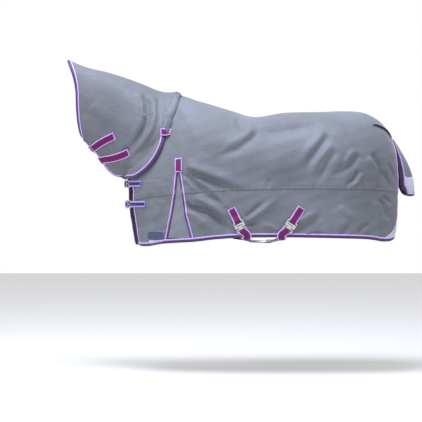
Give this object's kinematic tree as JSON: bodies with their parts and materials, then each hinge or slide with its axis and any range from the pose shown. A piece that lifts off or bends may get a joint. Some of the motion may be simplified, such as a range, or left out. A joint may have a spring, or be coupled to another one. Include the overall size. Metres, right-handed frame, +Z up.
{
  "type": "turnout rug",
  "caption": "Grey padded horse turnout rug with a sewn-on neck cover, tail flap, shoulder gussets, chest closures and crossed surcingles, in its worn shape.",
  "frame": {"origin": "on the top of the horse's withers, in the rug's middle plane, just under the withers fleece", "axes": "+X from the horse's head towards its tail, +Y to its off (right) side, +Z up"},
  "size_m": [2.1181, 0.7137, 1.1343],
  "materials": {
    "outer_cloth": "matt waterproof ripstop, grey",
    "lining_cloth": "smooth dark navy-purple nylon",
    "fill": "white polyester wadding, out of sight",
    "binding": "lilac and purple binding tape",
    "webbing": "purple webbing with lilac edges",
    "steel": "nickel-plated",
    "patch": "blank rubber-backed patch",
    "fleece": "short grey pile"
  },
  "bodies": {
    "rug": {"barrel_fill_near": "fill", "barrel_fill_off": "fill", "front_binding_near": "binding", "front_binding_off": "binding", "front_panel_near": "outer_cloth", "front_panel_off": "outer_cloth", "front_surcingle_near_strap": "webbing", "front_surcingle_off_strap": "webbing", "front_surcingle_slot_plate": "steel", "gusset_near": "outer_cloth", "gusset_off": "outer_cloth", "gusset_tab_near": "webbing", "gusset_tab_off": "webbing", "hem_binding": "binding", "label_patch": "patch", "leg_tab_near": "webbing", "leg_tab_off": "webbing", "lining_near": "lining_cloth", "lining_off": "lining_cloth", "lower_chest_eye": "steel", "lower_chest_hook": "steel", "lower_chest_near_tab": "webbing", "lower_chest_off_strap": "webbing", "neck_binding": "binding", "neck_fill": "fill", "neck_lining": "lining_cloth", "neck_outer": "outer_cloth", "neck_tab_near": "webbing", "neck_tab_off": "webbing", "neckline_binding": "binding", "rear_surcingle_near_strap": "webbing", "rear_surcingle_off_strap": "webbing", "rear_surcingle_slot_plate": "steel", "shoulder_fill_near": "fill", "shoulder_fill_off": "fill", "side_panel_near": "outer_cloth", "side_panel_off": "outer_cloth", "upper_chest_eye": "steel", "upper_chest_hook": "steel", "upper_chest_near_tab": "webbing", "upper_chest_off_strap": "webbing", "upper_panel": "outer_cloth", "withers_pad": "fleece"},
    "tail_flap": {"tail_flap": "outer_cloth", "tail_flap_binding": "binding"},
    "neck_strap_upper": {"neck_strap_upper": "webbing"},
    "neck_strap_lower": {"neck_strap_lower": "webbing"},
    "upper_ring": {"upper_chest_ring": "steel"},
    "lower_ring": {"lower_chest_ring": "steel"},
    "upper_gate": {"upper_chest_gate": "steel"},
    "lower_gate": {"lower_chest_gate": "steel"},
    "front_belly_strap": {"front_surcingle_belly_strap": "webbing"},
    "rear_belly_strap": {"rear_surcingle_belly_strap": "webbing"},
    "front_t_hook": {"front_surcingle_t_hook": "steel"},
    "rear_t_hook": {"rear_surcingle_t_hook": "steel"},
    "front_slider": {"front_surcingle_slider": "steel"},
    "rear_slider": {"rear_surcingle_slider": "steel"},
    "leg_ring_near": {"leg_ring_near": "steel"},
    "leg_ring_off": {"leg_ring_off": "steel"}
  },
  "joints": [
    {"name": "tail_flap_lift", "type": "hinge", "parent": "rug", "child": "tail_flap", "pos_m": [1.268, 0, -0.229], "axis": [0, -1, 0], "range_deg": [0, 60]},
    {"name": "neck_strap_upper_peel", "type": "hinge", "parent": "rug", "child": "neck_strap_upper", "pos_m": [-0.5687, 0.027, -0.2884], "axis": [0.6673, -0.0408, -0.7437], "range_deg": [0, 65]},
    {"name": "neck_strap_lower_peel", "type": "hinge", "parent": "rug", "child": "neck_strap_lower", "pos_m": [-0.5116, 0.0243, -0.3583], "axis": [0.5533, -0.0339, -0.8323], "range_deg": [0, 65]},
    {"name": "upper_ring_swing", "type": "hinge", "parent": "rug", "child": "upper_ring", "pos_m": [-0.3337, -0.1042, -0.505], "axis": [0, 0, 1], "range_deg": [-6, 6]},
    {"name": "lower_ring_swing", "type": "hinge", "parent": "rug", "child": "lower_ring", "pos_m": [-0.3263, -0.112, -0.628], "axis": [0, 0, 1], "range_deg": [-6, 6]},
    {"name": "upper_gate_open", "type": "hinge", "parent": "rug", "child": "upper_gate", "pos_m": [-0.3436, -0.0768, -0.505], "axis": [0, 0, -1], "range_deg": [0, 12], "stiffness_Nm_per_rad": 0.002},
    {"name": "lower_gate_open", "type": "hinge", "parent": "rug", "child": "lower_gate", "pos_m": [-0.3371, -0.085, -0.628], "axis": [0, 0, -1], "range_deg": [0, 12], "stiffness_Nm_per_rad": 0.002},
    {"name": "front_belly_strap_drop", "type": "hinge", "parent": "rug", "child": "front_belly_strap", "pos_m": [0.604, 0.348, -0.797], "axis": [1, 0, 0], "range_deg": [0, 60]},
    {"name": "rear_belly_strap_drop", "type": "hinge", "parent": "rug", "child": "rear_belly_strap", "pos_m": [0.315, 0.348, -0.797], "axis": [1, 0, 0], "range_deg": [0, 60]},
    {"name": "front_t_hook_tilt", "type": "hinge", "parent": "front_belly_strap", "child": "front_t_hook", "pos_m": [0.3401, -0.3458, -0.7865], "axis": [0.8917, -0.0482, 0.45], "range_deg": [0, 25]},
    {"name": "rear_t_hook_tilt", "type": "hinge", "parent": "rear_belly_strap", "child": "rear_t_hook", "pos_m": [0.6027, -0.3532, -0.783], "axis": [0.8356, -0.0096, -0.5493], "range_deg": [0, 25]},
    {"name": "front_slider_slide", "type": "slide", "parent": "front_belly_strap", "child": "front_slider", "axis": [0.3444, 0.936, -0.0731], "range_m": [-0.015, 0.07]},
    {"name": "rear_slider_slide", "type": "slide", "parent": "rear_belly_strap", "child": "rear_slider", "axis": [-0.3618, 0.9314, -0.0406], "range_m": [-0.015, 0.055]},
    {"name": "leg_ring_near_swing", "type": "hinge", "parent": "rug", "child": "leg_ring_near", "pos_m": [1.1401, -0.2526, -0.7214], "axis": [-0.9963, -0.0861, 0], "range_deg": [-80, 15]},
    {"name": "leg_ring_off_swing", "type": "hinge", "parent": "rug", "child": "leg_ring_off", "pos_m": [1.1401, 0.2526, -0.7214], "axis": [0.9963, -0.0861, 0], "range_deg": [-80, 15]}
  ],
  "couplings": [
    {"joint": "rear_belly_strap_drop", "follows": "front_belly_strap_drop", "ratio": 1}
  ]
}
